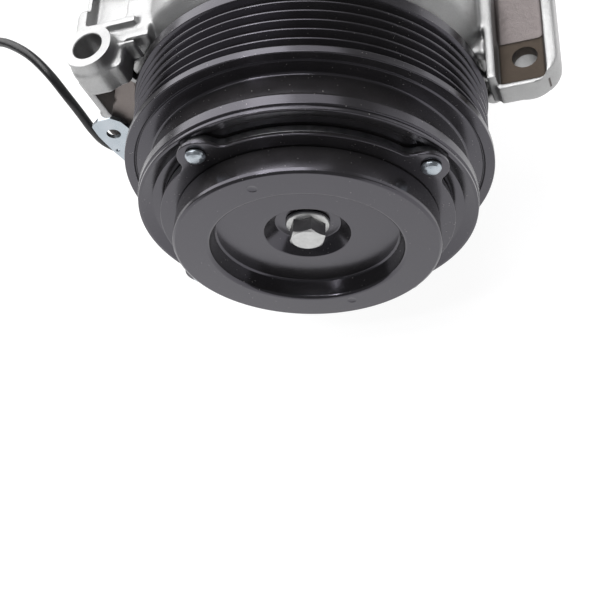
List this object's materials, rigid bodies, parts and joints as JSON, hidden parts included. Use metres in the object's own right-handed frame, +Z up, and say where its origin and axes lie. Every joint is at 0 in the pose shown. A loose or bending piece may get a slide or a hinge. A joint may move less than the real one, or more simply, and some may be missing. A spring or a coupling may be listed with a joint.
{
  "type": "automotive ac compressor",
  "caption": "Air-conditioning compressor with a belt pulley, electromagnetic clutch, aluminium housing with mounting ears and a coil lead; the clutch turns a scroll pump.",
  "frame": {"origin": "on the shaft axis, in the flat end face of the rear cover", "axes": "+Y along the shaft away from the clutch, +Z up along the mounting ears' bolt holes, +X to the right seen from the clutch"},
  "size_m": [0.2689, 0.1686, 0.132],
  "materials": {
    "black_coat": "satin black electrocoat",
    "cast_aluminium": "die cast, fine grain",
    "machined_aluminium": "machined",
    "zinc_plate": "clear zinc plating",
    "bare_steel": "ground",
    "rubber": "matt",
    "lead_sleeve": "satin sleeve",
    "black_plastic": "moulded",
    "coil_resin": "potted winding"
  },
  "bodies": {
    "housing": {"front_housing": "cast_aluminium", "scroll_shell": "cast_aluminium", "rear_cover": "cast_aluminium", "through_bolt_1": "zinc_plate", "through_bolt_2": "zinc_plate", "through_bolt_3": "zinc_plate", "through_bolt_4": "zinc_plate", "through_bolt_5": "zinc_plate", "coil_shell": "bare_steel", "coil_winding": "coil_resin", "lead_grommet": "rubber", "lead_bracket": "zinc_plate", "bracket_screw": "bare_steel", "coil_lead": "lead_sleeve", "lead_connector": "black_plastic", "connector_blade_a": "bare_steel", "connector_blade_b": "bare_steel", "pulley_bearing_inner_race": "bare_steel", "nose_snap_ring": "bare_steel", "shaft_seal": "rubber", "seal_snap_ring": "bare_steel", "front_needle_bearing": "bare_steel", "main_bearing_outer_race": "bare_steel", "thrust_plate": "bare_steel", "front_o_ring": "rubber", "rear_gasket": "rubber", "fixed_scroll": "machined_aluminium", "reed_retainer": "bare_steel", "retainer_screw": "bare_steel", "relief_valve": "zinc_plate", "oil_plug": "zinc_plate", "stop_pin_1": "bare_steel", "stop_pin_2": "bare_steel", "stop_pin_3": "bare_steel", "stop_pin_4": "bare_steel"},
    "pulley": {"pulley": "black_coat", "pulley_bearing_outer_race": "bare_steel", "pulley_bearing_snap_ring": "bare_steel"},
    "pulley_balls": {"pulley_bearing_cage": "bare_steel"},
    "shaft": {"drive_shaft": "bare_steel", "hub_dish": "black_coat", "hub_damper_rubber": "rubber", "hub_bolt": "zinc_plate", "main_bearing_inner_race": "bare_steel", "eccentric_bush": "bare_steel", "counterweight": "bare_steel"},
    "armature": {"armature_plate": "bare_steel", "lobed_plate": "black_coat", "clutch_rivet_1": "zinc_plate", "clutch_rivet_2": "zinc_plate", "clutch_rivet_3": "zinc_plate", "clutch_rivet_4": "zinc_plate"},
    "main_balls": {"main_bearing_cage": "bare_steel"},
    "orbiter": {"orbiting_scroll": "machined_aluminium", "orbit_bearing": "bare_steel", "stop_ring_1": "bare_steel", "stop_ring_2": "bare_steel", "stop_ring_3": "bare_steel", "stop_ring_4": "bare_steel"},
    "reed": {"discharge_reed": "bare_steel"}
  },
  "joints": [
    {"name": "pulley_spin", "type": "hinge", "parent": "housing", "child": "pulley", "pos_m": [0, -0.129, 0], "axis": [0, 1, 0], "continuous": true},
    {"name": "pulley_balls_spin", "type": "hinge", "parent": "housing", "child": "pulley_balls", "pos_m": [0, -0.129, 0], "axis": [0, 1, 0], "continuous": true},
    {"name": "shaft_spin", "type": "hinge", "parent": "housing", "child": "shaft", "pos_m": [0, -0.094, 0], "axis": [0, 1, 0], "continuous": true},
    {"name": "main_balls_spin", "type": "hinge", "parent": "housing", "child": "main_balls", "pos_m": [0, -0.0913, 0], "axis": [0, 1, 0], "continuous": true},
    {"name": "scroll_orbit", "type": "hinge", "parent": "shaft", "child": "orbiter", "pos_m": [0.0038, -0.07, 0], "axis": [0, 1, 0], "continuous": true},
    {"name": "armature_slide", "type": "slide", "parent": "shaft", "child": "armature", "axis": [0, 1, 0], "range_m": [0, 0.0004], "stiffness_N_per_m": 3000},
    {"name": "reed_lift", "type": "hinge", "parent": "housing", "child": "reed", "pos_m": [0, -0.02785, -0.0205], "axis": [-1, 0, 0], "range_deg": [0, 4], "stiffness_Nm_per_rad": 0.01}
  ],
  "couplings": [
    {"joint": "pulley_balls_spin", "follows": "pulley_spin", "ratio": 0.5467},
    {"joint": "main_balls_spin", "follows": "shaft_spin", "ratio": 0.44},
    {"joint": "scroll_orbit", "follows": "shaft_spin", "ratio": -1}
  ]
}
